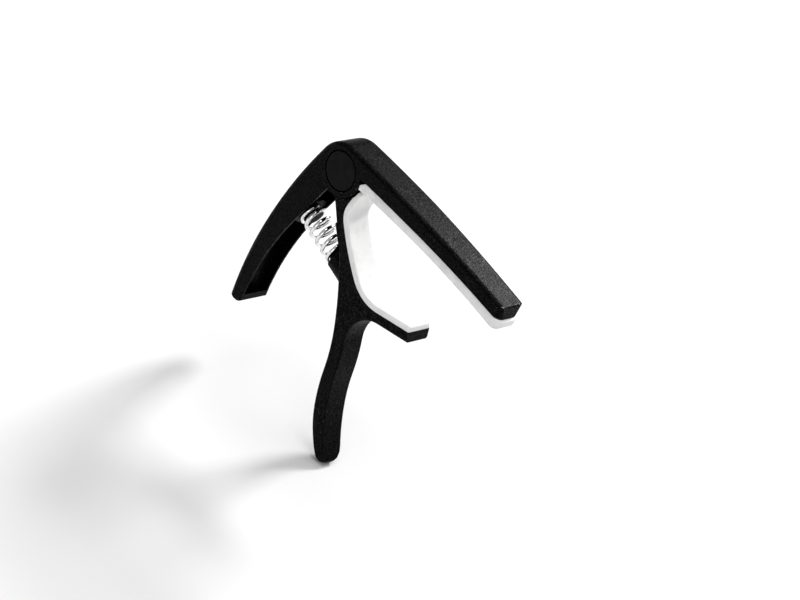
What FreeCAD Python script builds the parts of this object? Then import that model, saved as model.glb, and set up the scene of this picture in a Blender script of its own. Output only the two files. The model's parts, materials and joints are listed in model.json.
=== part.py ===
"""Spring guitar capo: a clamp frame with a string bar and a palm handle, and a trigger lever.

X runs along the string bar towards its free tip, Y along the hinge pin, Z up from the strings.
The origin is the middle of the string pad's contact face. All sizes are in millimetres.
"""
import FreeCAD, Part
import math
import os

# Clamp frame, one casting
frame_width = 11.6
bar_bottom_z = 3.0
bar_bottom_crown_x = -3.0
bar_bottom_radius = 450.0
bar_top_z = 8.05
bar_top_crown_x = -15.0
bar_top_radius = 547.0
bar_tip_x = 30.4
bar_end_height = 4.0
bar_end_draft = 5.5
bar_end_radius = 0.6
bar_end_turn = 69.5
bar_corner_radius = 3.0
bar_tip_width = 9.8
bar_root_share = 0.9
corner_end = 0.5
bar_taper_start_x = -12.0
bar_taper_margin = 2.0
frame_edge_radius = 1.5
frame_inner_radius = 0.4
palm_web = 2.2
palm_wall = 1.0
palm_length = 62.0
palm_end_bulge = 40.0

# Hinge
pivot_x = -39.5
pivot_z = -0.8
boss_radius = 8.0
channel_width = 6.6
post_diameter = 5.0
post_bore_clearance = 0.05
bush_diameter = 7.0
bush_running_fit = 0.04
press_gap = 0.02
washer_diameter = 11.0
washer_thickness = 0.5
side_clearance = 0.05
head_diameter = 10.2
head_thickness = 0.6
screw_diameter = 3.1
screw_length = 6.0
screw_clearance = 0.05
slot_width = 1.2
slot_depth = 0.3
cap_diameter = 11.7
cap_ring_gap = 0.5
cap_recess = 1.6
cap_proud = 0.1

# Trigger lever, one casting
lever_side_gap = 0.3
hub_radius = 5.5
hub_clearance = 0.6
hub_roof = 2.4
wide_part_clearance = 0.5
jaw_thickness = 3.4
trigger_thickness = 4.8
trigger_tip_thickness = 2.5
jaw_root_radius = 11.0
jaw_lining = 1.5
trigger_taper_drop = 45.2
trigger_end_narrowing = 1.1
trigger_end_radius = 3.8
lever_edge_radius = 0.8

# Silicone pads
string_pad_boss_gap = 0.3
string_pad_nose = 0.3
string_pad_overhang = 0.9
string_pad_inset = 0.4
string_pad_arch_radius = 320.0
string_pad_chamfer_x = 1.5
string_pad_edge_radius = 0.5
string_pad_end_radius = 2.0
string_pad_corner_radius = 3.0
tongue_width = 4.0
tongue_height = 1.3
tongue_root = 1.5
tongue_margin = 4.0
tongue_clearance = 0.1
neck_pad_thickness = 1.9
neck_pad_edge_radius = 0.4

# Compression spring
spring_side_gap = 0.5
spring_wire = 1.2
spring_turns = 6.0
spring_seat_drop = 21.2
spring_angle = 12.0
peg_clearance = 0.25
peg_height = 2.5
peg_root = 1.0
seat_clearance = 0.2
seat_rim = 0.1
seat_proud = 4.6
palm_seat_height = 6.1
palm_seat_root = 0.4


def at(x, z, y=0.0):
    """A point, given along the bar first, then up, then across."""
    return FreeCAD.Vector(x, y, z)


def heading(degrees):
    """The unit direction at this angle in the side view, from +X towards +Z."""
    turn = math.radians(degrees)
    return at(math.cos(turn), math.sin(turn))


class Curve:
    """Arcs that run smoothly into each other, through a few points of the side view."""

    def __init__(self, start, start_heading, *stops):
        self.points = [start]
        self.headings = [start_heading]
        for stop in stops:
            chord = stop - self.points[-1]
            chord_heading = math.degrees(math.atan2(chord.z, chord.x))
            turn = (chord_heading - self.headings[-1] + 180.0) % 360.0 - 180.0
            self.points.append(stop)
            self.headings.append(self.headings[-1] + 2.0 * turn)

    def beside(self, distance):
        """The same curve this far to its right."""
        copy = Curve(self.points[0], self.headings[0])
        copy.headings = list(self.headings)
        copy.points = [p + heading(h - 90.0) * distance for p, h in zip(self.points, self.headings)]
        return copy

    def part(self, first, last):
        """The stretch between two of its points, given by their numbers."""
        copy = Curve(self.points[first], self.headings[first])
        copy.points = self.points[first:last + 1]
        copy.headings = self.headings[first:last + 1]
        return copy

    def back(self):
        """The same curve, run from its end to its start."""
        copy = Curve(self.points[-1], self.headings[-1] + 180.0)
        copy.points = self.points[::-1]
        copy.headings = [h + 180.0 for h in self.headings[::-1]]
        return copy

    def edges(self):
        """One arc, or a straight line where there is no turn, for each stretch."""
        arcs = []
        for start, end, turn_from, turn_to in zip(
                self.points, self.points[1:], self.headings, self.headings[1:]):
            half_turn = math.radians(turn_to - turn_from) / 2.0
            if abs(half_turn) < 1e-4:
                arcs.append(Part.LineSegment(start, end).toShape())
                continue
            chord = end - start
            bulge = at(chord.z, -chord.x) * (0.5 * math.tan(half_turn / 2.0))
            arcs.append(Part.Arc(start, (start + end) * 0.5 + bulge, end).toShape())
        return arcs


def arch(crown, radius, from_x, to_x):
    """An arch along the bar, run from a place nearer its tip to one nearer the hinge."""
    start, end = [at(x, crown.z - radius + math.sqrt(radius ** 2 - (x - crown.x) ** 2)) for x in (from_x, to_x)]
    tilt = math.degrees(math.asin((from_x - crown.x) / radius))
    return Curve(start, 180.0 - tilt, end)


def outline(*pieces):
    """A closed wire through points and curves, joined by straight lines."""
    edges = []
    first = None
    last = None
    for piece in pieces:
        run = piece.edges() if isinstance(piece, Curve) else []
        start = piece.points[0] if isinstance(piece, Curve) else piece
        end = piece.points[-1] if isinstance(piece, Curve) else piece
        if last is not None and last.distanceToPoint(start) > 1e-6:
            edges.append(Part.LineSegment(last, start).toShape())
        edges.extend(run)
        first = start if first is None else first
        last = end
    if last.distanceToPoint(first) > 1e-6:
        edges.append(Part.LineSegment(last, first).toShape())
    return Part.Wire(Part.__sortEdges__(edges))


def plate(wire, width):
    """The solid inside a side-view outline, centred across the width."""
    solid = Part.Face(wire).extrude(FreeCAD.Vector(0.0, width, 0.0))
    solid.translate(FreeCAD.Vector(0.0, -width / 2.0, 0.0))
    return solid


def disc(x, z, radius, width, y=0.0):
    """A cylinder along Y, centred across the width on y."""
    start = FreeCAD.Vector(x, y - width / 2.0, z)
    return Part.makeCylinder(radius, width, start, FreeCAD.Vector(0.0, 1.0, 0.0))


def pivot_disc(diameter, y_from, y_to):
    """A cylinder on the hinge line, between two places across the width."""
    return disc(pivot_x, pivot_z, diameter / 2.0, abs(y_to - y_from), (y_from + y_to) / 2.0)


def rounded(solid, radius, keep):
    """The solid with a fillet on each edge that the rule keeps."""
    return solid.makeFillet(radius, [edge for edge in solid.Edges if keep(edge)])


def runs_across(edge):
    """Whether an edge runs along Y."""
    box = edge.BoundBox
    return box.YLength > 10.0 * max(box.XLength, box.ZLength)


def follows(edge, curve):
    """Whether an edge that doesn't run across lies along this line of the side view."""
    if runs_across(edge):
        return False
    middle = edge.valueAt((edge.FirstParameter + edge.LastParameter) / 2.0)
    flat = Part.Vertex(at(middle.x, middle.z))
    return flat.distToShape(curve)[0] < 0.01


# Places that several pieces share
bar_top_crown = at(bar_top_crown_x, bar_top_z)
bar_bottom_crown = at(bar_bottom_crown_x, bar_bottom_z)
bar_thickness = bar_top_z - bar_bottom_z
frame_half = frame_width / 2.0
channel_half = channel_width / 2.0
palm_space = frame_width - 2.0 * palm_wall
lever_width = palm_space - 2.0 * lever_side_gap
lever_half = lever_width / 2.0
trigger_end_width = lever_width - trigger_end_narrowing
spring_diameter = palm_space - 2.0 * spring_side_gap
string_pad_start_x = pivot_x + boss_radius + string_pad_boss_gap
string_pad_end_x = bar_tip_x + string_pad_overhang
string_pad_half = frame_half - string_pad_inset
recess_floor = frame_half - cap_recess
head_top = recess_floor + head_thickness
hub_half = channel_half - washer_thickness - 2.0 * side_clearance
boss_clear_radius = boss_radius + wide_part_clearance
pivot = at(pivot_x, pivot_z)

# Top of the bar, from its tip back to the corner
bar_top = arch(bar_top_crown, bar_top_radius, bar_tip_x, pivot_x - corner_end)
# Outer face of the frame, from the palm handle's end round the corner to the top of the bar
palm_outer = Curve(
    at(pivot_x - 17.1, pivot_z - palm_length), 96.5,
    at(pivot_x - 17.4, pivot_z - 36.0),
    at(pivot_x - 9.3, pivot_z + 1.7),
    bar_top.points[-1],
)
# Inner edge of the palm handle's side walls, upwards to the boss
palm_inner = Curve(
    at(pivot_x - 12.3, pivot_z - palm_length), 93.0,
    at(pivot_x - 8.0, pivot_z - 27.0),
    at(pivot_x - 3.4, pivot_z - 13.0),
    at(pivot_x - 1.0, pivot_z - 6.0),
)
# Neck side of the jaw's pad, from its upper horn down and round under the neck
jaw_face = Curve(
    at(pivot_x + 9.7, pivot_z - 1.8), 259.0,
    at(pivot_x + 8.6, pivot_z - 7.9),
    at(pivot_x + 9.7, pivot_z - 11.8),
    at(pivot_x + 22.0, pivot_z - 23.2),
    at(pivot_x + 32.5, pivot_z - 25.1),
    at(pivot_x + 45.5, pivot_z - 21.4),
)
# Back face of the lever's arm and trigger, from the hub down to its end
trigger_back = Curve(
    at(pivot_x + 1.0, pivot_z - 8.4), 309.0,
    at(pivot_x + 4.6, pivot_z - 12.85),
    at(pivot_x + 21.6, pivot_z - 41.7),
    at(pivot_x + 25.6, pivot_z - 56.6),
    at(pivot_x + 28.6, pivot_z - 68.6),
    at(pivot_x + 38.6, pivot_z - 83.1),
)


def front_of(back, thickness, end_thickness):
    """The front face that belongs to a back face: evenly thick, and thinner at its end."""
    depths = [thickness] * (len(back.points) - 1) + [end_thickness]
    stops = [p + heading(h + 90.0) * d for p, h, d in zip(back.points, back.headings, depths)]
    return Curve(stops[0], back.headings[0], *stops[1:])


trigger_front = front_of(trigger_back, trigger_thickness, trigger_tip_thickness)


def meeting(point, direction, curve):
    """Where a straight line from a point meets a curve."""
    reach = 2.0 * palm_length
    line = Part.makeLine(point, point + direction * reach)
    return line.distToShape(Part.Wire(curve.edges()))[1][0][0]


# The spring stands on a boss on the palm handle's web and points at a seat on the lever's back
spring_axis = heading(-spring_angle)
web_seat = meeting(at(pivot_x, pivot_z - spring_seat_drop), at(-1.0, 0.0), palm_outer.beside(palm_web))
palm_seat = web_seat + spring_axis * palm_seat_height
lever_seat = meeting(palm_seat, spring_axis, trigger_back) - spring_axis * seat_proud
spring_length = palm_seat.distanceToPoint(lever_seat)


def passes(edge, point):
    """Whether an edge goes through a point of the side view."""
    middle = edge.valueAt((edge.FirstParameter + edge.LastParameter) / 2.0)
    return at(middle.x, middle.z).distanceToPoint(point) < 0.01


def underside(from_x, to_x):
    """The bar's arched underside between two places."""
    return arch(bar_bottom_crown, bar_bottom_radius, from_x, to_x)


def clamp_profile():
    """Side view of bar, corner and palm handle as one closed outline."""
    bottom = underside(bar_tip_x, pivot_x + bar_root_share * boss_radius)
    palm_end = Curve(palm_inner.points[0], 180.0 + palm_end_bulge, palm_outer.points[0])
    return outline(palm_outer, bar_top.back(), bottom, pivot, palm_inner.back(), palm_end)


def bar_half(x):
    """Half the bar's width at this place along its taper."""
    share = (x - bar_taper_start_x) / (bar_tip_x + bar_taper_margin - bar_taper_start_x)
    return frame_half + (bar_tip_width / 2.0 - frame_half) * share


def bar_end():
    """What to cut from the bar for its drafted end face with a rounded upper edge."""
    margin = 0.5
    face_heading = 90.0 + bar_end_draft
    bottom = underside(bar_tip_x, bar_tip_x - margin).points[0]
    top = bottom + heading(face_heading) * bar_end_height
    chord = 2.0 * bar_end_radius * math.sin(math.radians(bar_end_turn) / 2.0)
    rim = Curve(top, face_heading, top + heading(face_heading + bar_end_turn / 2.0) * chord)
    over = rim.points[-1] + heading(rim.headings[-1]) * margin
    below = bottom - heading(face_heading) * margin
    far_x = bar_tip_x + margin
    return plate(outline(below, rim, over, at(far_x, over.z), at(far_x, below.z)), frame_width)


def bar_taper(side, inset=0.0):
    """The wedge that narrows one side of the bar, or of a strip set in from it, towards the tip."""
    margin = bar_taper_margin
    tip_y = side * (bar_tip_width / 2.0 - inset)
    root_y = side * (frame_half - inset)
    far_y = side * (frame_half + margin)
    corners = [
        FreeCAD.Vector(bar_taper_start_x, root_y, bar_bottom_z - margin),
        FreeCAD.Vector(bar_tip_x + margin, tip_y, bar_bottom_z - margin),
        FreeCAD.Vector(bar_tip_x + margin, far_y, bar_bottom_z - margin),
        FreeCAD.Vector(bar_taper_start_x, far_y, bar_bottom_z - margin),
    ]
    wedge = Part.Face(Part.makePolygon(corners + corners[:1]))
    return wedge.extrude(FreeCAD.Vector(0.0, 0.0, bar_thickness + 2.0 * margin))


def clamp_body():
    """The frame's outside, with rounded edges and no cavity yet."""
    body = plate(clamp_profile(), frame_width)
    below_bar = FreeCAD.Vector(pivot_x - boss_radius, -frame_half, pivot_z - boss_radius)
    boss_box = Part.makeBox(2.0 * boss_radius, frame_width, bar_bottom_z - below_bar.z, below_bar)
    boss = disc(pivot_x, pivot_z, boss_radius, frame_width).common(boss_box)
    body = body.fuse(boss).removeSplitter()
    body = body.cut(bar_taper(1)).cut(bar_taper(-1))
    back = Part.Wire(palm_outer.edges() + bar_top.back().edges())
    front = Part.Wire(underside(bar_tip_x, pivot_x + boss_radius).edges())
    inside = Part.Wire(palm_inner.edges())
    body = rounded(body, frame_edge_radius, lambda edge: follows(edge, back))
    body = rounded(body, frame_inner_radius, lambda edge: follows(edge, front) or follows(edge, inside))
    body = body.cut(bar_end())
    corner_half = bar_half(bar_tip_x - bar_corner_radius)
    tip = at(bar_tip_x, bar_top_z)
    return body.cut(end_rounding(tip, at(1.0, 0.0), bar_corner_radius, corner_half, 2.0 * bar_thickness))


def hinge_channel():
    """The space between the cheeks in which the hub and its arm turn."""
    hub_space = hub_radius + hub_clearance
    roof_z = pivot_z + hub_roof
    right_x = pivot_x + boss_radius + 2.0
    floor_z = pivot_z - boss_radius - 4.0
    below = outline(
        at(pivot_x - hub_space, pivot_z),
        at(pivot_x, roof_z),
        at(right_x, roof_z),
        at(right_x, floor_z),
        at(pivot_x - hub_space, floor_z),
    )
    return plate(below, channel_width).fuse(disc(pivot_x, pivot_z, hub_space, channel_width))


def palm_channel():
    """The hollow between the palm handle's side walls, open towards the trigger."""
    web_face = palm_outer.part(0, 2).beside(palm_web)
    top_z = pivot_z - boss_radius + 1.0
    end_z = pivot_z - palm_length + palm_web
    corner = web_face.points[-1]
    open_x = pivot_x + boss_radius
    sides = outline(web_face, at(open_x, corner.z), at(open_x, web_face.points[0].z))
    channel = plate(sides, palm_space)
    depth = top_z - end_z
    corner_x = web_face.points[0].x - palm_web
    length = open_x - corner_x
    window = Part.makeBox(length, frame_width, depth, FreeCAD.Vector(corner_x, -frame_half, end_z))
    boss = disc(pivot_x, pivot_z, boss_radius, frame_width)
    return channel.common(window).cut(boss)


def along(point, direction, diameter, length):
    """A cylinder that starts at a point and runs in this direction."""
    return Part.makeCylinder(diameter / 2.0, length, point, direction)


def spring_peg(seat, direction):
    """The peg that keeps the spring on its seat."""
    inside = spring_diameter - 2.0 * spring_wire - 2.0 * peg_clearance
    return along(seat - direction * peg_root, direction, inside, peg_height + peg_root)


def tongue(width, height, margin):
    """A straight rib under the bar, this far from both ends of the string pad."""
    length = string_pad_end_x - string_pad_start_x - 2.0 * margin
    corner = FreeCAD.Vector(string_pad_start_x + margin, -width / 2.0, bar_bottom_z - tongue_root)
    return Part.makeBox(length, width, height + tongue_root, corner)


def palm_boss():
    """The boss from wall to wall of the palm handle that carries the spring."""
    start = web_seat - spring_axis * palm_seat_root
    return along(start, spring_axis, palm_space + 2.0 * palm_seat_root, palm_seat_height + palm_seat_root)


def clamp_frame():
    """String bar, corner with two cheeks, and palm handle."""
    body = clamp_body().cut(hinge_channel()).cut(palm_channel())
    recess = cap_diameter + 2.0 * cap_ring_gap
    for side in (-1, 1):
        body = body.cut(pivot_disc(recess, side * recess_floor, side * (frame_half + 1.0)))
    bore = post_diameter + 2.0 * post_bore_clearance
    body = body.cut(pivot_disc(bore, -frame_half, frame_half))
    gap = tongue_clearance
    body = body.cut(tongue(tongue_width + 2.0 * gap, tongue_height + gap, tongue_margin - gap))
    body = body.fuse([palm_boss(), spring_peg(palm_seat, spring_axis)])
    return body.removeSplitter()


def string_pad():
    """The silicone strip under the bar, with an arched face and a tongue in the bar's groove."""
    crown = at(bar_bottom_crown_x, 0.0)
    face = arch(crown, string_pad_arch_radius, string_pad_end_x, string_pad_start_x)
    top = underside(string_pad_end_x, string_pad_start_x + string_pad_chamfer_x)
    root_middle = (face.points[-1] + top.points[-1]) * 0.5
    nose = at(string_pad_start_x - string_pad_nose, root_middle.z)
    pad = plate(outline(face, nose, top.back()), 2.0 * string_pad_half)
    pad = pad.cut(bar_taper(1, string_pad_inset)).cut(bar_taper(-1, string_pad_inset))
    tip_edge = face.points[0]
    pad = rounded(pad, string_pad_end_radius, lambda edge: runs_across(edge) and passes(edge, tip_edge))
    contact = Part.Wire(face.edges())
    pad = rounded(pad, string_pad_edge_radius, lambda edge: follows(edge, contact))
    tip_half = bar_tip_width / 2.0 - string_pad_inset
    tip = at(string_pad_end_x, 0.0)
    pad = pad.cut(end_rounding(tip, at(1.0, 0.0), string_pad_corner_radius, tip_half, 2.0 * bar_bottom_z))
    return pad.fuse(tongue(tongue_width, tongue_height, tongue_margin)).removeSplitter()


def jaw_ribbon(inner, outer, width):
    """A strip that follows the jaw between two distances from its neck side."""
    return plate(outline(jaw_face.beside(inner), jaw_face.beside(outer).back()), width)


def end_rounding(end, direction, radius, half_width, depth):
    """What to cut from a strip's end so that its corners look round from its face."""
    across = FreeCAD.Vector(0.0, 1.0, 0.0)
    normal = direction.cross(across)
    reach = normal * depth
    margin = 5.0
    corners = []
    for side in (-1, 1):
        centre = end - direction * radius + across * (side * (half_width - radius)) - reach
        sideways = across * (side * (radius + margin))
        forwards = direction * (radius + margin)
        square = [centre, centre + sideways, centre + sideways + forwards, centre + forwards, centre]
        block = Part.Face(Part.makePolygon(square)).extrude(reach * 2.0)
        corners.append(block.cut(Part.makeCylinder(radius, 2.0 * depth, centre, normal)))
    return corners[0].fuse(corners[1])


def trigger_taper(side):
    """The wedge that narrows one side of the trigger towards its end."""
    margin = 3.0
    start_z = pivot_z - trigger_taper_drop
    end_z = trigger_back.points[-1].z - margin
    far_y = side * (lever_half + margin)
    end_x = trigger_front.points[-1].x + margin
    corners = [
        FreeCAD.Vector(pivot_x, side * lever_half, start_z),
        FreeCAD.Vector(pivot_x, side * trigger_end_width / 2.0, end_z),
        FreeCAD.Vector(pivot_x, far_y, end_z),
        FreeCAD.Vector(pivot_x, far_y, start_z),
    ]
    wedge = Part.Face(Part.makePolygon(corners + corners[:1]))
    return wedge.extrude(FreeCAD.Vector(end_x - pivot_x, 0.0, 0.0))


def neck_pad():
    """The silicone strip on the jaw's neck side."""
    pad = jaw_ribbon(0.0, neck_pad_thickness, lever_width)
    pad = pad.cut(disc(pivot_x, pivot_z, boss_clear_radius, frame_width))
    face = Part.Wire(jaw_face.edges())
    return rounded(pad, neck_pad_edge_radius, lambda edge: follows(edge, face))


def lever_body():
    """Jaw, arm and trigger as wide plates, before the hub is added."""
    bed = neck_pad_thickness
    lining = jaw_face.part(0, 2)
    lined = plate(outline(lining.beside(bed), lining.beside(bed + jaw_lining).back()), lever_width)
    under = jaw_face.part(2, 5)
    jaw = plate(outline(under.beside(bed), under.beside(bed + jaw_thickness).back()), lever_width)
    trigger = plate(outline(trigger_back, trigger_front.back()), lever_width)
    end = (trigger_back.points[-1] + trigger_front.points[-1]) * 0.5
    end_radius = trigger_tip_thickness / 2.0
    body = jaw.fuse([lined, trigger, disc(end.x, end.z, end_radius, lever_width)]).removeSplitter()
    body = rounded(body, jaw_root_radius, lambda edge: runs_across(edge) and is_jaw_root(edge))
    front = Part.Wire(trigger_front.part(2, 5).edges())
    back = Part.Wire(trigger_back.part(2, 5).edges())
    body = rounded(body, lever_edge_radius, lambda edge: follows(edge, front) or follows(edge, back))
    body = body.cut(jaw_ribbon(-trigger_thickness, bed, lever_width))
    direction = heading(trigger_back.headings[-1])
    tip = end + direction * end_radius
    body = body.cut(trigger_taper(1)).cut(trigger_taper(-1))
    half = trigger_end_width / 2.0
    return body.cut(end_rounding(tip, direction, trigger_end_radius, half, trigger_thickness))


def is_jaw_root(edge):
    """Whether an edge is the inner corner where the jaw leaves the trigger's front."""
    middle = edge.valueAt((edge.FirstParameter + edge.LastParameter) / 2.0)
    spot = Part.Vertex(at(middle.x, middle.z))
    below_jaw = jaw_face.beside(neck_pad_thickness + jaw_thickness)
    on_front = spot.distToShape(Part.Wire(trigger_front.edges()))[0] < 0.01
    on_jaw = spot.distToShape(Part.Wire(below_jaw.edges()))[0] < 0.01
    return on_front and on_jaw


def hub_and_arm():
    """The narrow hub between the cheeks and the web that joins it to the jaw and the trigger."""
    width = 2.0 * hub_half
    bed = jaw_face.part(0, 2).beside(neck_pad_thickness)
    arm_start = trigger_back.points[1]
    arm_top = arm_start - heading(trigger_back.headings[1]) * (boss_radius + 3.0)
    right = pivot + at(hub_radius, 0.0)
    web = plate(outline(right, bed, arm_start, arm_top), width)
    return web.fuse(disc(pivot_x, pivot_z, hub_radius, width))


def trigger_lever():
    """The second casting: hub, jaw and trigger, with the spring's seat on its back."""
    wide = lever_body().cut(disc(pivot_x, pivot_z, boss_clear_radius, frame_width))
    seat = along(lever_seat, spring_axis, spring_diameter + 2.0 * seat_rim, seat_proud + spring_diameter)
    middle = trigger_back.beside(-trigger_thickness / 2.0).part(1, 3)
    behind = plate(outline(middle, at(pivot_x - 10.0, middle.points[-1].z), at(pivot_x - 10.0, pivot_z)),
                   frame_width)
    body = wide.fuse([hub_and_arm(), seat.common(behind), spring_peg(lever_seat, spring_axis * -1.0)])
    body = body.cut(pivot_disc(bush_diameter + 2.0 * press_gap, -frame_half, frame_half))
    return body.removeSplitter()


def hub_bush():
    """The plain bush pressed into the hub, which turns on the post."""
    bore = post_diameter + 2.0 * bush_running_fit
    ring = pivot_disc(bush_diameter, -hub_half, hub_half)
    return ring.cut(pivot_disc(bore, -frame_half, frame_half))


def drive_slot(side):
    """The screwdriver slot in a head under one cap."""
    corner = FreeCAD.Vector(pivot_x - head_diameter, 0.0, pivot_z - slot_width / 2.0)
    corner.y = head_top - slot_depth if side > 0 else -head_top - slot_depth
    return Part.makeBox(2.0 * head_diameter, 2.0 * slot_depth, slot_width, corner)


def pivot_barrel():
    """The binding post that the hinge turns on, with its head on the -Y side."""
    head = pivot_disc(head_diameter, -head_top, -recess_floor)
    stem = pivot_disc(post_diameter, -recess_floor, recess_floor - side_clearance)
    hole = pivot_disc(screw_diameter + 2.0 * screw_clearance, recess_floor - screw_length - 0.5, frame_half)
    return head.fuse(stem).cut(hole).cut(drive_slot(-1)).removeSplitter()


def pivot_screw():
    """The screw that closes the binding post from the +Y side."""
    head = pivot_disc(head_diameter, recess_floor, head_top)
    stem = pivot_disc(screw_diameter, recess_floor - screw_length, recess_floor)
    return head.fuse(stem).cut(drive_slot(1)).removeSplitter()


def thrust_washer(side):
    """The flat washer between one cheek and the hub."""
    outer = channel_half - side_clearance
    inner = outer - washer_thickness
    ring = pivot_disc(washer_diameter, side * inner, side * outer)
    return ring.cut(pivot_disc(post_diameter + 0.2, -frame_half, frame_half))


def pivot_cap(side):
    """The smooth round cap over one end of the hinge."""
    face = frame_half + cap_proud
    cap = pivot_disc(cap_diameter, side * head_top, side * face)
    rim = [edge for edge in cap.Edges if abs(abs(edge.BoundBox.YMin) - face) < 1e-3
           and abs(abs(edge.BoundBox.YMax) - face) < 1e-3]
    return cap.makeFillet(0.3, rim)


def coil_spring():
    """The compression spring between its two seats."""
    radius = (spring_diameter - spring_wire) / 2.0
    height = spring_length - spring_wire - 2.0 * seat_clearance
    helix = Part.makeHelix(height / spring_turns, height, radius)
    section = Part.Wire(Part.makeCircle(spring_wire / 2.0, FreeCAD.Vector(radius, 0.0, 0.0),
                                        FreeCAD.Vector(0.0, 1.0, 0.0)))
    coil = Part.Wire(helix.Edges).makePipeShell([section], True, True)
    start = palm_seat + spring_axis * (spring_wire / 2.0 + seat_clearance)
    coil.Placement = FreeCAD.Placement(start, FreeCAD.Rotation(at(0.0, 1.0), spring_axis))
    return coil


def nodes():
    """Each piece of the capo, by name."""
    return {
        "clamp_frame": clamp_frame(),
        "string_pad": string_pad(),
        "trigger_lever": trigger_lever(),
        "neck_pad": neck_pad(),
        "hub_bush": hub_bush(),
        "pivot_barrel": pivot_barrel(),
        "pivot_screw": pivot_screw(),
        "thrust_washer_near": thrust_washer(-1),
        "thrust_washer_far": thrust_washer(1),
        "pivot_cap_near": pivot_cap(-1),
        "pivot_cap_far": pivot_cap(1),
        "coil_spring": coil_spring(),
    }


os.makedirs("parts", exist_ok=True)
for name, shape in nodes().items():
    print(name, shape.isValid(), len(shape.Solids), round(shape.Volume, 1))
    shape.exportStep("parts/%s.step" % name)
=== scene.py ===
"""Looks of a spring guitar capo: finishes for its castings and hinge, silicone pads, spring, studio."""

import json
import math

import bpy
import numpy as np
from bpy.props import FloatProperty, FloatVectorProperty, PointerProperty
from mathutils import Matrix, Vector


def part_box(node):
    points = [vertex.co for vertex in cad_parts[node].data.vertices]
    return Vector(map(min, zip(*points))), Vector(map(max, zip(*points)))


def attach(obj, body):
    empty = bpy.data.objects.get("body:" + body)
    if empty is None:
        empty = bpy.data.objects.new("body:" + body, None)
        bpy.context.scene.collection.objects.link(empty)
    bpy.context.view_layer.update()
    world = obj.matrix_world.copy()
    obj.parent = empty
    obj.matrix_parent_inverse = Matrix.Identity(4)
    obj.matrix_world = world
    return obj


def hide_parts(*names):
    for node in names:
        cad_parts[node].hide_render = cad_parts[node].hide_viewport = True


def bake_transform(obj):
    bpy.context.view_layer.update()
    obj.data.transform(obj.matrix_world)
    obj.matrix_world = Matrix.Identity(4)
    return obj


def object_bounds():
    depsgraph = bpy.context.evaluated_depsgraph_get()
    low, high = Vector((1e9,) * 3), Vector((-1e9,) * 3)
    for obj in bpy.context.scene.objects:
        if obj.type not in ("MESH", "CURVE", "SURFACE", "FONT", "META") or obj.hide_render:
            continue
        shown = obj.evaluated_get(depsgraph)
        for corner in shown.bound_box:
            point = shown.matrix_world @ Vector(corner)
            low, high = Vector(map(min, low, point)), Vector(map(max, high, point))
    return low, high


bl_info = {
    "name": "Spring capo looks",
    "version": (1, 0, 0),
    "blender": (4, 5, 0),
    "location": "3D View > Sidebar > Capo",
    "description": "Finishes, silicone pads, spring and studio for a spring guitar capo",
    "category": "Object",
}

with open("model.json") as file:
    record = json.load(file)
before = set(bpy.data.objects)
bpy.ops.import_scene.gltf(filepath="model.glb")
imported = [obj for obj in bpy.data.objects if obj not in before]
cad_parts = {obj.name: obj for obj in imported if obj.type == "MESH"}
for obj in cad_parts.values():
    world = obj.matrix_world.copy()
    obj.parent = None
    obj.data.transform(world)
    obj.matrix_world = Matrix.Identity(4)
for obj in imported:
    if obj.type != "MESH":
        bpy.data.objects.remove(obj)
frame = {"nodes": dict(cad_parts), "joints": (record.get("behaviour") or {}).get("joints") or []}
cad_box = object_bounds()

MM = 0.001
CASTINGS = ("clamp_frame", "trigger_lever")
PLASTIC = ("pivot_cap_near", "pivot_cap_far", "thrust_washer_near", "thrust_washer_far")
TURNED_STEEL = ("pivot_barrel", "pivot_screw")
PIVOT = np.array([frame["joints"][0]["pos_m"][0], frame["joints"][0]["pos_m"][2]])

# The bar's underside and the string pad's face are arches with their crowns at the same place
ARCH_CROWN = -3.0 * MM
BAR_ARCH = 450.0 * MM
BAR_UNDERSIDE = 3.0 * MM
PAD_ARCH = 320.0 * MM
BAR_TAPER_START = -12.0 * MM


# ---------------------------------------------------------------- sizes and colours


class CoatSettings(bpy.types.PropertyGroup):
    """The powder coat on the two castings."""

    colour: FloatVectorProperty(
        name="Coat colour", description="Colour of the powder coat", subtype="COLOR",
        size=3, min=0.0, max=1.0, default=(0.0005, 0.0005, 0.00055))
    # Also the colour of rubbed edges and of the painted highlight line along the start of the side
    # roundings.
    speckle: FloatVectorProperty(
        name="Speckle colour", description="Colour of the lighter grains in the coat", subtype="COLOR",
        size=3, min=0.0, max=1.0, default=(0.0035, 0.0035, 0.0037))
    bare_metal: FloatVectorProperty(
        name="Bare metal", description="Colour where an edge is rubbed through", subtype="COLOR",
        size=3, min=0.0, max=1.0, default=(0.42, 0.41, 0.40))
    grain: FloatProperty(
        name="Grain size", description="Width of one grain of the coat", unit="LENGTH", default=0.36 * MM)
    relief: FloatProperty(
        name="Grain relief", description="Height of the coat's texture", unit="LENGTH", default=0.080 * MM)


class HingeSettings(bpy.types.PropertyGroup):
    """The caps, washers, post, screw and bush of the hinge."""

    cap_colour: FloatVectorProperty(
        name="Cap colour", description="Colour of the plastic caps and washers", subtype="COLOR",
        size=3, min=0.0, max=1.0, default=(0.0030, 0.0030, 0.0032))
    steel_colour: FloatVectorProperty(
        name="Steel colour", description="Colour of the post and its screw", subtype="COLOR",
        size=3, min=0.0, max=1.0, default=(0.56, 0.56, 0.57))
    bush_colour: FloatVectorProperty(
        name="Bush colour", description="Colour of the brass bush", subtype="COLOR",
        size=3, min=0.0, max=1.0, default=(0.72, 0.52, 0.24))


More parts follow.
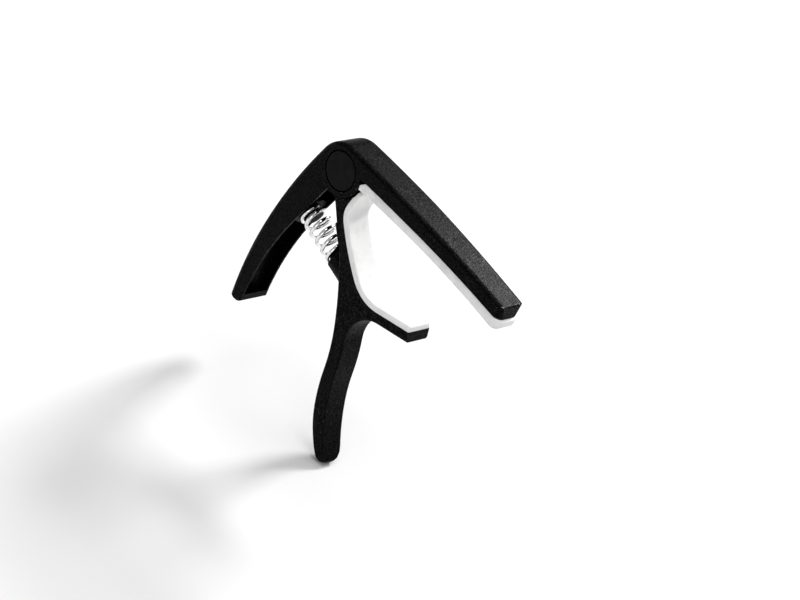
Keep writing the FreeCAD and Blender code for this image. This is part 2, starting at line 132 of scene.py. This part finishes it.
class PadSettings(bpy.types.PropertyGroup):
    """The two silicone pads."""

    colour: FloatVectorProperty(
        name="Silicone colour", description="Colour of the pads", subtype="COLOR",
        size=3, min=0.0, max=1.0, default=(0.80, 0.80, 0.795))
    dulled: FloatVectorProperty(
        name="Handled colour", description="Colour where the pads are handled", subtype="COLOR",
        size=3, min=0.0, max=1.0, default=(0.70, 0.70, 0.70))
    string_edge: FloatProperty(
        name="String pad edge", description="Radius along the pad's contact face",
        unit="LENGTH", default=0.5 * MM)
    bar_edge: FloatProperty(
        name="Bar edge", description="Radius along the pad's back, against the bar",
        unit="LENGTH", default=0.2 * MM)
    neck_edge: FloatProperty(
        name="Neck pad edge", description="Radius along the neck pad's face",
        unit="LENGTH", default=0.4 * MM)
    string_spacing: FloatProperty(
        name="String spacing", description="Distance between the dents that strings leave",
        unit="LENGTH", default=7.6 * MM)
    dent_depth: FloatProperty(
        name="Dent depth", description="Depth of the dents that strings leave",
        unit="LENGTH", default=0.07 * MM)


class SpringSettings(bpy.types.PropertyGroup):
    """The compression spring between the handles."""

    wire: FloatProperty(
        name="Wire", description="Diameter of the wire", unit="LENGTH", default=1.2 * MM)
    diameter: FloatProperty(
        name="Coil", description="Outer diameter of the coil", unit="LENGTH", default=8.6 * MM)
    turns: FloatProperty(
        name="Turns", description="Turns between the middles of the flattened ends", default=5.0, min=2.0)
    closed: FloatProperty(
        name="Flattened end", description="Share of a turn over which each end flattens", default=1.0)
    colour: FloatVectorProperty(
        name="Plating", description="Colour of the chrome plating", subtype="COLOR",
        size=3, min=0.0, max=1.0, default=(0.83, 0.83, 0.84))


class StudioSettings(bpy.types.PropertyGroup):
    """Floor, lights and camera."""

    floor_colour: FloatVectorProperty(
        name="Floor colour", description="Colour of the floor", subtype="COLOR",
        size=3, min=0.0, max=1.0, default=(0.64, 0.64, 0.64))
    sky: FloatProperty(
        name="Sky", description="Strength of the even light all round", default=0.42)
    overhead: FloatProperty(
        name="Overhead", description="Power of the soft light overhead", unit="POWER", default=7.0)
    sheen: FloatProperty(
        name="Sheen", description="Power of the light behind, which shows in the bar's top",
        unit="POWER", default=12.6)
    side: FloatProperty(
        name="Side", description="Power of the low light on the near side", unit="POWER", default=2.0)
    lens: FloatProperty(
        name="Lens", description="Focal length on a 36 mm sensor, in millimetres", default=113.06)


# ---------------------------------------------------------------- materials


class Finish:
    """One material's node tree, with a short way to add nodes to it."""

    def __init__(self, name):
        self.material = bpy.data.materials.new(name)
        self.material.use_nodes = True
        self.tree = self.material.node_tree
        self.shader = self.tree.nodes["Principled BSDF"]
        self.place = self.node("ShaderNodeTexCoord").outputs["Object"]

    def node(self, kind, inputs=None, **settings):
        """Adds a node. An input's value is a socket to link, or a constant to set."""
        made = self.tree.nodes.new(kind)
        for name, value in settings.items():
            setattr(made, name, value)
        self.feed(made, inputs or {})
        return made

    def feed(self, made, inputs):
        """Links or sets inputs of a node, by name or number."""
        for key, value in inputs.items():
            if isinstance(value, bpy.types.NodeSocket):
                self.tree.links.new(value, made.inputs[key])
            else:
                made.inputs[key].default_value = value

    def noise(self, size, detail=2.0, rough=0.5, vector=None, warp=0.0):
        """A noise pattern whose features are about this wide, in metres."""
        inputs = {"Vector": vector or self.place, "Scale": 1.0 / size, "Detail": detail,
                  "Roughness": rough, "Distortion": warp}
        return self.node("ShaderNodeTexNoise", inputs).outputs["Fac"]

    def math(self, operation, a, b=0.0, clamp=False):
        """One sum on two values."""
        return self.node("ShaderNodeMath", {0: a, 1: b}, operation=operation, use_clamp=clamp).outputs[0]

    def fit(self, value, low, high, to_low=0.0, to_high=1.0):
        """Maps a value from one range to another with soft ends."""
        inputs = {"Value": value, "From Min": low, "From Max": high, "To Min": to_low, "To Max": to_high}
        return self.node("ShaderNodeMapRange", inputs, interpolation_type="SMOOTHSTEP").outputs["Result"]

    def blend(self, share, first, second):
        """A colour between two others."""
        pair = {"Fac": share, "Color1": with_alpha(first), "Color2": with_alpha(second)}
        return self.node("ShaderNodeMixRGB", pair).outputs["Color"]

    def bump(self, height, distance, strength=1.0, below=None):
        """A surface relief this high, over another one if given."""
        inputs = {"Height": height, "Distance": distance, "Strength": strength}
        if below is not None:
            inputs["Normal"] = below
        return self.node("ShaderNodeBump", inputs).outputs["Normal"]

    def edges(self, radius):
        """How near a sharp edge a spot is, from 0 on a flat to 1 on the edge."""
        soft = self.node("ShaderNodeBevel", {"Radius": radius}, samples=6).outputs["Normal"]
        true = self.node("ShaderNodeNewGeometry").outputs["True Normal"]
        turn = self.node("ShaderNodeVectorMath", {0: soft, 1: true}, operation="DOT_PRODUCT")
        return self.fit(turn.outputs["Value"], 0.995, 0.80)


def with_alpha(colour):
    """A colour for a node's socket, which wants four numbers."""
    if isinstance(colour, bpy.types.NodeSocket):
        return colour
    return tuple(colour) + (1.0,)


def powder_coat(settings):
    """Black powder coat: fine grains, a few lighter ones, slight orange peel, edges rubbed, and a painted
    highlight line where the sides start to round.
    """
    coat = Finish("black_powder_coat")
    grain = coat.noise(settings.grain, detail=3.0, rough=0.62)
    peel = coat.noise(settings.grain * 4.5, detail=1.5)
    handled = coat.noise(9.0 * MM, detail=3.0, rough=0.6)
    grains = coat.fit(grain, 0.50, 0.74)
    speckled = coat.blend(grains, settings.colour, settings.speckle)
    near_edge = coat.edges(0.7 * MM)
    tipwards = coat.node("ShaderNodeSeparateXYZ", {"Vector": coat.place}).outputs["X"]
    tender = coat.fit(tipwards, 0.020, 0.030, -0.02, 0.12)
    chipping = coat.math("ADD", coat.noise(0.8 * MM, detail=4.0, rough=0.7), tender)
    worn = coat.math("MULTIPLY", near_edge, coat.fit(chipping, 0.62, 0.67))
    # A thin lighter line where the side faces start to round, picked out by the normal's direction: a
    # painted highlight.
    normal = coat.node("ShaderNodeNewGeometry").outputs["Normal"]
    facing = coat.node("ShaderNodeSeparateXYZ", {"Vector": normal})
    sideways = coat.math("ABSOLUTE", facing.outputs["Y"])
    painted_highlight_line = coat.math("MULTIPLY", coat.fit(sideways, 0.90, 0.95), coat.fit(sideways, 0.998, 0.985))
    # Rubbed edges together with the painted highlight line.
    rub_and_highlight = coat.math("MAXIMUM", near_edge, painted_highlight_line)
    # Edges rubbed lighter, and the painted highlight line, both take the speckle colour.
    rubbed = coat.blend(coat.math("MULTIPLY", rub_and_highlight, 0.6), speckled, settings.speckle)
    colour = coat.blend(worn, rubbed, settings.bare_metal)
    smears = coat.fit(handled, 0.35, 0.7, 0.37, 0.40)
    rough = coat.math("ADD", smears, coat.fit(grain, 0.3, 0.7, -0.03, 0.05))
    gloss = coat.fit(grain, 0.45, 0.69, 0.014, 0.152)
    relief = coat.bump(peel, settings.relief, 0.30)
    coat.feed(coat.shader, {
        "Base Color": colour,
        "Roughness": rough,
        "Metallic": coat.math("MULTIPLY", worn, 0.85),
        "Specular IOR Level": gloss,
        "Normal": coat.bump(grain, settings.relief, 0.55, relief),
    })
    return coat.material


def moulded_plastic(settings):
    """Smooth satin black plastic with fine moulding marks, light handling, and its edges painted lighter as
    a highlight.
    """
    plastic = Finish("satin_black_plastic")
    marks = plastic.noise(0.35 * MM, detail=2.0)
    smears = plastic.noise(3.5 * MM, detail=3.0, rough=0.6, warp=0.6)
    near_edge = plastic.edges(0.3 * MM)
    lighter = tuple(2.2 * c for c in settings.cap_colour)
    colour = plastic.blend(plastic.fit(smears, 0.3, 0.75), settings.cap_colour, lighter)
    plastic.feed(plastic.shader, {
        # The edges are blended to a lighter grey: a painted rim highlight.
        "Base Color": plastic.blend(plastic.math("MULTIPLY", near_edge, 0.6), colour, (0.02, 0.02, 0.021)),
        "Roughness": plastic.fit(smears, 0.3, 0.7, 0.36, 0.46),
        "Specular IOR Level": 0.04,
        "Normal": plastic.bump(marks, 0.006 * MM, 0.5),
    })
    return plastic.material


def turned_metal(name, colour, rough):
    """Metal turned on a lathe about the hinge: fine rings, and streaks where it was handled."""
    metal = Finish(name)
    x, z = PIVOT
    centred = metal.node("ShaderNodeVectorMath", {0: metal.place, 1: (x, 0.0, z)},
                         operation="SUBTRACT").outputs["Vector"]
    flat = metal.node("ShaderNodeVectorMath", {0: centred, 1: (1.0, 0.0, 1.0)},
                      operation="MULTIPLY").outputs["Vector"]
    reach = metal.node("ShaderNodeVectorMath", {0: flat}, operation="LENGTH").outputs["Value"]
    across = metal.node("ShaderNodeSeparateXYZ", {"Vector": metal.place}).outputs["Y"]
    lathe = metal.node("ShaderNodeCombineXYZ", {"X": reach, "Y": across}).outputs["Vector"]
    rings = metal.noise(0.07 * MM, detail=2.0, vector=lathe)
    stain = metal.noise(1.5 * MM, detail=3.0)
    darker = tuple(0.72 * c for c in colour)
    metal.feed(metal.shader, {
        "Base Color": metal.blend(metal.fit(stain, 0.35, 0.7), colour, darker),
        "Metallic": 1.0,
        "Roughness": metal.fit(stain, 0.3, 0.7, rough, rough + 0.12),
        "Normal": metal.bump(rings, 0.006 * MM, 0.6),
    })
    return metal.material


def silicone(settings):
    """Pale silicone: soft, faintly see-through, dulled in patches, with a few specks of dust."""
    rubber = Finish("pale_silicone")
    patches = rubber.noise(5.0 * MM, detail=3.0, rough=0.6)
    skin = rubber.noise(0.22 * MM, detail=2.0)
    dust = rubber.fit(rubber.noise(0.5 * MM, detail=1.0), 0.70, 0.78)
    clean = rubber.blend(rubber.fit(patches, 0.42, 0.75), settings.colour, settings.dulled)
    rubber.feed(rubber.shader, {
        "Base Color": rubber.blend(rubber.math("MULTIPLY", dust, 0.35), clean, (0.42, 0.41, 0.40)),
        "Roughness": rubber.fit(patches, 0.3, 0.7, 0.42, 0.55),
        "Specular IOR Level": 0.45,
        "Subsurface Weight": 0.35,
        "Subsurface Radius": (1.0, 0.95, 0.9),
        "Subsurface Scale": 0.8 * MM,
        "Normal": rubber.bump(skin, 0.008 * MM, 0.5),
    })
    return rubber.material


def chrome_wire(settings):
    """Chrome-plated wire: bright, with faint lines drawn along it and small dull spots."""
    wire = Finish("chrome_wire")
    strip = wire.node("ShaderNodeUVMap", uv_map="wire").outputs["UV"]
    drawn = wire.node("ShaderNodeMapping", {"Vector": strip, "Scale": (0.06, 1.0, 1.0)}).outputs["Vector"]
    lines = wire.noise(0.12 * MM, detail=2.0, vector=drawn)
    spots = wire.noise(0.9 * MM, detail=3.0, rough=0.65)
    duller = tuple(0.80 * c for c in settings.colour)
    wire.feed(wire.shader, {
        "Base Color": wire.blend(wire.fit(spots, 0.5, 0.75), settings.colour, duller),
        "Metallic": 1.0,
        "Roughness": wire.fit(spots, 0.4, 0.75, 0.09, 0.24),
        "Normal": wire.bump(lines, 0.004 * MM, 0.5),
    })
    return wire.material


def paint(node_names, material):
    """Gives CAD nodes a finish."""
    for name in node_names:
        for slot in frame["nodes"][name].material_slots:
            slot.material = material


# ---------------------------------------------------------------- surfaces


def closed_skin(name, rings, material):
    """A closed skin over rings of points (rings, points, 3), with a fan to the middle of each end."""
    count, around = rings.shape[:2]
    points = np.concatenate([rings.reshape(-1, 3), rings[[0, -1]].mean(axis=1)])
    ring = np.arange(count * around).reshape(count, around)
    near, far = ring[:-1], ring[1:]
    sides = np.stack([near, np.roll(near, -1, 1), np.roll(far, -1, 1), far], axis=-1).reshape(-1, 4)
    first, last = ring[0], ring[-1]
    start = np.stack([np.roll(first, -1), first, np.full(around, count * around)], axis=-1)
    end = np.stack([last, np.roll(last, -1), np.full(around, count * around + 1)], axis=-1)
    corners = points[sides]
    normals = np.cross(corners[:, 2] - corners[:, 0], corners[:, 3] - corners[:, 1])
    outwards = np.sum(normals * (corners.mean(axis=1) - points.mean(axis=0))) > 0.0
    faces = [sides, start, end] if outwards else [f[:, ::-1] for f in (sides, start, end)]
    mesh = bpy.data.meshes.new(name)
    mesh.from_pydata(points.tolist(), [], [f for part in faces for f in part.tolist()])
    mesh.shade_smooth()
    mesh.set_sharp_from_angle(angle=math.radians(40.0))
    mesh.materials.append(material)
    made = bpy.data.objects.new(name, mesh)
    bpy.context.scene.collection.objects.link(made)
    return made


def strip_ring(half_width, low, high, low_radius, high_radius, steps=6, fill=5):
    """Rounded rectangles, one for each station: four quarter arcs joined by evenly divided sides.

    Each argument is an array over the stations. Gives two arrays, across and up, (stations, points).
    """
    room = np.minimum(half_width, 0.5 * (high - low))
    radii = [np.minimum(r, 0.98 * room) for r in (low_radius, high_radius, high_radius, low_radius)]
    across, up = [], []
    for corner, radius in enumerate(radii):
        side = 1.0 if corner in (0, 1) else -1.0
        level = low + radius if corner in (0, 3) else high - radius
        turn = np.radians(90.0 * (corner - 1) + np.linspace(0.0, 90.0, steps + 1))
        across.append((side * (half_width - radius))[:, None] + radius[:, None] * np.cos(turn))
        up.append(level[:, None] + radius[:, None] * np.sin(turn))
    share = np.linspace(0.0, 1.0, fill + 2)[1:-1]
    rows = []
    for values in (across, up):
        parts = []
        for corner in range(4):
            here, there = values[corner], values[(corner + 1) % 4]
            parts += [here, here[:, -1:] + (there[:, :1] - here[:, -1:]) * share]
        rows.append(np.concatenate(parts, axis=1))
    return rows


def quarter_round(distance, radius):
    """How far a rounded end falls back at a distance from it: a quarter circle, 0 past its radius."""
    inside = np.clip(1.0 - distance / radius, 0.0, 1.0)
    return radius * (1.0 - np.sqrt(1.0 - inside ** 2))


def arched(x, radius, crown_z):
    """Height of an arch at places along the bar: a circle whose top is at crown_z, over ARCH_CROWN."""
    return crown_z - radius + np.sqrt(radius ** 2 - (x - ARCH_CROWN) ** 2)


def arc_path(points, heading, step):
    """A path of arcs that run smoothly into each other through points, as places and headings.

    Each arc starts in the last one's end direction and turns twice the angle to its chord.
    """
    places, turns = [], []
    for start, end in zip(points[:-1], points[1:]):
        chord = end - start
        to_chord = math.atan2(chord[1], chord[0]) - heading
        half = (to_chord + math.pi) % (2.0 * math.pi) - math.pi
        length = math.hypot(*chord)
        count = max(int(length / step), 2)
        share = np.arange(count) / count
        along = np.sin(half * share) / max(abs(math.sin(half)), 1e-9) * math.copysign(1.0, half)
        way = heading + half * share
        places.append(start + length * along[:, None] * np.stack([np.cos(way), np.sin(way)], axis=1))
        turns.append(heading + 2.0 * half * share)
        heading += 2.0 * half
    places.append(points[-1:])
    turns.append(np.array([heading]))
    return np.concatenate(places), np.concatenate(turns)


# ---------------------------------------------------------------- the pieces


def string_pad_piece(settings, material):
    """Silicone strip under the bar, as rounded rectangles along it.

    Its back is an arch of 450 mm radius and its contact face one of 320 mm, both with their crown at
    x = -3 mm, and the face has a shallow dent under each string. Its root end is a wedge, the width
    narrows from the pivot's side to the tip, and the tip's corners are round.
    """
    low_corner, high_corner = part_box("string_pad")
    start, end = low_corner.x, high_corner.x
    tip_half, root_half = 4.52 * MM, 5.4 * MM
    nose_run, chamfer_run = 0.3 * MM, 1.8 * MM
    tip_corner, tip_edge, back_edge, root_edge = 3.0 * MM, 2.0 * MM, 0.3 * MM, 0.35 * MM
    root_run, tip_run = 2.0 * MM, 3.1 * MM
    dent_half, least = 0.42 * MM, 0.02 * MM
    x = np.concatenate([
        start + root_run * np.linspace(0.0, 1.0, 30)[:-1] ** 1.6,
        np.linspace(start + root_run, end - tip_run, 241)[:-1],
        end - tip_run + tip_run * np.sin(0.5 * math.pi * np.linspace(0.0, 1.0, 32)),
    ])
    arch = arched(x, PAD_ARCH, 0.0)
    bar_z = arched(x, BAR_ARCH, BAR_UNDERSIDE)
    nose_z = 0.5 * (arch[0] + bar_z[0])
    strings = settings.string_spacing * (np.arange(6) - 2.5)
    dents = np.exp(-((x[:, None] - strings) / dent_half) ** 2).sum(axis=1) * settings.dent_depth
    low = np.maximum(arch + dents, nose_z - (x - start) * (nose_z - arch[0]) / nose_run)
    low = low + quarter_round(end - x, tip_edge)
    high = np.minimum(bar_z, nose_z + (x - start) * (bar_z - nose_z) / chamfer_run)
    high = high - quarter_round(end - x, back_edge)
    narrow = np.clip((x - BAR_TAPER_START) / (end - BAR_TAPER_START), 0.0, 1.0)
    half = root_half + (tip_half - root_half) * narrow
    half = half - quarter_round(end - x, tip_corner) - quarter_round(x - start, root_edge)
    thickness = np.maximum(high - low, least)
    middle = 0.5 * (high + low)
    across, up = strip_ring(
        half, middle - 0.5 * thickness, middle + 0.5 * thickness,
        np.full_like(x, settings.string_edge), np.full_like(x, settings.bar_edge))
    rings = np.stack([np.broadcast_to(x[:, None], across.shape), across, up], axis=-1)
    pad = closed_skin("string_pad_silicone", rings, material)
    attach(pad, "clamp")
    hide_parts("string_pad")
    return pad


def neck_pad_piece(settings, material):
    """Silicone lining of the jaw, as rounded rectangles carried along the jaw's smooth arcs.

    It is 1.9 mm thick, and thinner where the round cheek of the frame passes behind its upper end.
    """
    stops = np.array([(9.7, -1.8), (8.6, -7.9), (9.7, -11.8), (22.0, -23.2), (32.5, -25.1), (45.5, -21.4)])
    places, headings = arc_path(stops * MM + PIVOT, math.radians(259.0), 0.35 * MM)
    outwards = np.stack([np.sin(headings), -np.cos(headings)], axis=1)
    run = np.concatenate([[0.0], np.cumsum(np.linalg.norm(np.diff(places, axis=0), axis=1))])
    from_pivot = places - PIVOT
    towards = np.sum(outwards * from_pivot, axis=1)
    cheek, thickness, half_width = 8.5 * MM, 1.9 * MM, 4.5 * MM
    end_edge, back_edge = 0.35 * MM, 0.08 * MM
    depth = towards ** 2 - np.sum(from_pivot ** 2, axis=1) + cheek ** 2
    to_cheek = np.where(depth > 0.0, -towards - np.sqrt(np.maximum(depth, 0.0)), 1.0)
    back = np.minimum(thickness, np.where(to_cheek > 0.0, to_cheek, 1.0))
    ends = np.minimum(run, run[-1] - run)
    rounding = quarter_round(ends, end_edge)
    half = half_width - rounding
    face = np.minimum(rounding, 0.4 * back)
    across, out = strip_ring(
        half, face, back, np.full_like(run, settings.neck_edge), np.full_like(run, back_edge))
    x = places[:, :1] + outwards[:, :1] * out
    z = places[:, 1:] + outwards[:, 1:] * out
    pad = closed_skin("neck_pad_silicone", np.stack([x, across, z], axis=-1), material)
    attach(pad, "lever")
    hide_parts("neck_pad")
    return pad


def spring_piece(settings, material):
    """Compression spring: a round wire along a helix whose two ends flatten against their seats.

    The rise per turn is even in the middle, and falls to nothing over the last share of a turn.
    """
    seat = np.array([-46.651, 0.0, -23.268]) * MM
    far_seat = np.array([-29.601, 0.0, -26.892]) * MM
    gap, end_edge = 0.2 * MM, 0.12 * MM
    steps_per_turn, points_round_wire = 72, 18
    length = np.linalg.norm(far_seat - seat)
    axis = (far_seat - seat) / length
    radius = 0.5 * (settings.diameter - settings.wire)
    wire_radius = 0.5 * settings.wire
    height = length - settings.wire - 2.0 * gap
    down = np.array([axis[2], 0.0, -axis[0]])
    side = np.array([0.0, 1.0, 0.0])
    total = 2.0 * math.pi * settings.turns
    closed = 2.0 * math.pi * settings.closed
    steps = int(steps_per_turn * (settings.turns + settings.closed)) + 1
    angle = np.linspace(-0.5 * closed, total + 0.5 * closed, steps)
    from_start = np.clip(angle + 0.5 * closed, 0.0, closed)
    from_end = np.clip(total + 0.5 * closed - angle, 0.0, closed)
    turned = np.clip(angle, 0.5 * closed, total - 0.5 * closed) - 0.5 * closed
    into_end = closed - from_end
    rise = turned + from_start ** 2 / (2.0 * closed) + into_end - into_end ** 2 / (2.0 * closed)
    level = gap + wire_radius + height * rise / rise[-1]
    outwards = np.cos(angle)[:, None] * down + np.sin(angle)[:, None] * side
    centre = seat + level[:, None] * axis + radius * outwards
    tangent = np.gradient(centre, axis=0)
    tangent /= np.linalg.norm(tangent, axis=1)[:, None]
    binormal = np.cross(tangent, outwards)
    turn = np.linspace(0.0, 2.0 * math.pi, points_round_wire, endpoint=False)
    run = np.concatenate([[0.0], np.cumsum(np.linalg.norm(np.diff(centre, axis=0), axis=1))])
    left = np.minimum(run, run[-1] - run)
    thick = wire_radius - quarter_round(left, end_edge)
    section = np.cos(turn)[:, None] * outwards[:, None, :] + np.sin(turn)[:, None] * binormal[:, None, :]
    rings = centre[:, None, :] + thick[:, None, None] * section
    spring = closed_skin("coil_spring_wire", rings, material)
    layer = spring.data.uv_layers.new(name="wire")
    corner_point = np.zeros(len(spring.data.loops), dtype=np.int64)
    spring.data.loops.foreach_get("vertex_index", corner_point)
    along = np.append(np.repeat(run, points_round_wire), [0.0, run[-1]])
    around = np.append(np.tile(turn * wire_radius, len(run)), [0.0, 0.0])
    layer.data.foreach_set("uv", np.stack([along, around], axis=1)[corner_point].ravel().astype(np.float32))
    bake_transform(spring)
    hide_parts("coil_spring")
    return spring


# ---------------------------------------------------------------- the studio


def studio_floor(settings):
    """A pale floor just under the capo."""
    low, _ = (Vector(corner) for corner in cad_box)
    size, level = 4.0, low.z - 0.5 * MM
    floor_mesh = bpy.data.meshes.new("studio_floor")
    corners = [(-size, -size, level), (size, -size, level), (size, size, level), (-size, size, level)]
    floor_mesh.from_pydata(corners, [], [(0, 1, 2, 3)])
    paper = Finish("studio_paper")
    paper.feed(paper.shader, {
        "Base Color": with_alpha(settings.floor_colour),
        "Roughness": 0.9,
        "Specular IOR Level": 0.1,
    })
    floor_mesh.materials.append(paper.material)
    floor = bpy.data.objects.new("studio_floor", floor_mesh)
    bpy.context.scene.collection.objects.link(floor)


def soft_light(name, power, size, place, target):
    """A square soft light that faces a point."""
    lamp = bpy.data.lights.new(name, "AREA")
    lamp.energy = power
    lamp.size = size
    light = bpy.data.objects.new(name, lamp)
    light.location = place
    light.rotation_euler = (Vector(target) - Vector(place)).to_track_quat("-Z", "Y").to_euler()
    bpy.context.scene.collection.objects.link(light)


def studio_camera(settings):
    """A long lens from above, near the guitar's body, rolled as the neck lies."""
    place = Vector((0.323818, -0.520132, 0.376026))
    look = Vector((-0.447857, 0.710363, -0.542963)).normalized()
    right = Vector((0.609783, 0.686796, 0.395569)).normalized()
    up = right.cross(look)
    turn = Matrix((right, up, -look)).transposed()
    data = bpy.data.cameras.new("studio_camera")
    data.lens = settings.lens
    data.sensor_width = 36.0
    data.clip_start = 0.01
    data.clip_end = 20.0
    camera = bpy.data.objects.new("studio_camera", data)
    camera.matrix_world = Matrix.Translation(place) @ turn.to_4x4()
    bpy.context.scene.collection.objects.link(camera)
    bpy.context.scene.camera = camera


# ---------------------------------------------------------------- operators


class CAPO_OT_castings(bpy.types.Operator):
    """Powder coats the clamp frame and the trigger lever"""

    bl_idname = "capo.castings"
    bl_label = "Castings"

    def execute(self, context):
        paint(CASTINGS, powder_coat(context.scene.capo_coat))
        return {"FINISHED"}


class CAPO_OT_hinge(bpy.types.Operator):
    """Gives the caps, washers, post, screw and bush their finishes"""

    bl_idname = "capo.hinge"
    bl_label = "Hinge"

    def execute(self, context):
        settings = context.scene.capo_hinge
        paint(PLASTIC, moulded_plastic(settings))
        paint(TURNED_STEEL, turned_metal("turned_steel", settings.steel_colour, 0.24))
        paint(("hub_bush",), turned_metal("reamed_brass", settings.bush_colour, 0.28))
        return {"FINISHED"}


class CAPO_OT_pads(bpy.types.Operator):
    """Makes the silicone pads of the bar and the jaw"""

    bl_idname = "capo.pads"
    bl_label = "Silicone pads"

    def execute(self, context):
        settings = context.scene.capo_pads
        material = silicone(settings)
        string_pad_piece(settings, material)
        neck_pad_piece(settings, material)
        return {"FINISHED"}


class CAPO_OT_spring(bpy.types.Operator):
    """Makes the compression spring between the handles"""

    bl_idname = "capo.spring"
    bl_label = "Spring"

    def execute(self, context):
        settings = context.scene.capo_spring
        spring_piece(settings, chrome_wire(settings))
        return {"FINISHED"}


class CAPO_OT_studio(bpy.types.Operator):
    """Sets up the floor, the soft lights and the camera"""

    bl_idname = "capo.studio"
    bl_label = "Studio"

    def execute(self, context):
        settings = context.scene.capo_studio
        world = bpy.data.worlds.new("studio_sky")
        world.use_nodes = True
        backdrop = world.node_tree.nodes["Background"]
        backdrop.inputs["Color"].default_value = (1.0, 1.0, 1.0, 1.0)
        backdrop.inputs["Strength"].default_value = settings.sky
        context.scene.world = world
        context.scene.view_settings.view_transform = "Standard"
        studio_floor(settings)
        middle = (-0.013, 0.0, -0.02)
        soft_light("overhead", settings.overhead, 0.9, (0.0, -0.05, 0.9), middle)
        soft_light("sheen", settings.sheen, 0.25, (-0.22, 0.80, 0.69), middle)
        soft_light("side", settings.side, 0.6, (0.75, -0.80, 0.10), middle)
        studio_camera(settings)
        return {"FINISHED"}


class CAPO_PT_panel(bpy.types.Panel):
    """Lists the capo's pieces"""

    bl_idname = "CAPO_PT_panel"
    bl_label = "Capo"
    bl_space_type = "VIEW_3D"
    bl_region_type = "UI"
    bl_category = "Capo"

    def draw(self, context):
        for operator in OPERATORS:
            self.layout.operator(operator.bl_idname)


SETTINGS = {
    "capo_coat": CoatSettings,
    "capo_hinge": HingeSettings,
    "capo_pads": PadSettings,
    "capo_spring": SpringSettings,
    "capo_studio": StudioSettings,
}
OPERATORS = (CAPO_OT_castings, CAPO_OT_hinge, CAPO_OT_pads, CAPO_OT_spring, CAPO_OT_studio)


def register():
    for name, settings in SETTINGS.items():
        bpy.utils.register_class(settings)
        setattr(bpy.types.Scene, name, PointerProperty(type=settings))
    for made in OPERATORS + (CAPO_PT_panel,):
        bpy.utils.register_class(made)


def unregister():
    for made in (CAPO_PT_panel,) + OPERATORS[::-1]:
        bpy.utils.unregister_class(made)
    for name, settings in SETTINGS.items():
        delattr(bpy.types.Scene, name)
        bpy.utils.unregister_class(settings)


def main():
    register()
    bpy.ops.capo.castings()
    bpy.ops.capo.hinge()
    bpy.ops.capo.pads()
    bpy.ops.capo.spring()
    bpy.ops.capo.studio()


if __name__ == "__main__":
    main()
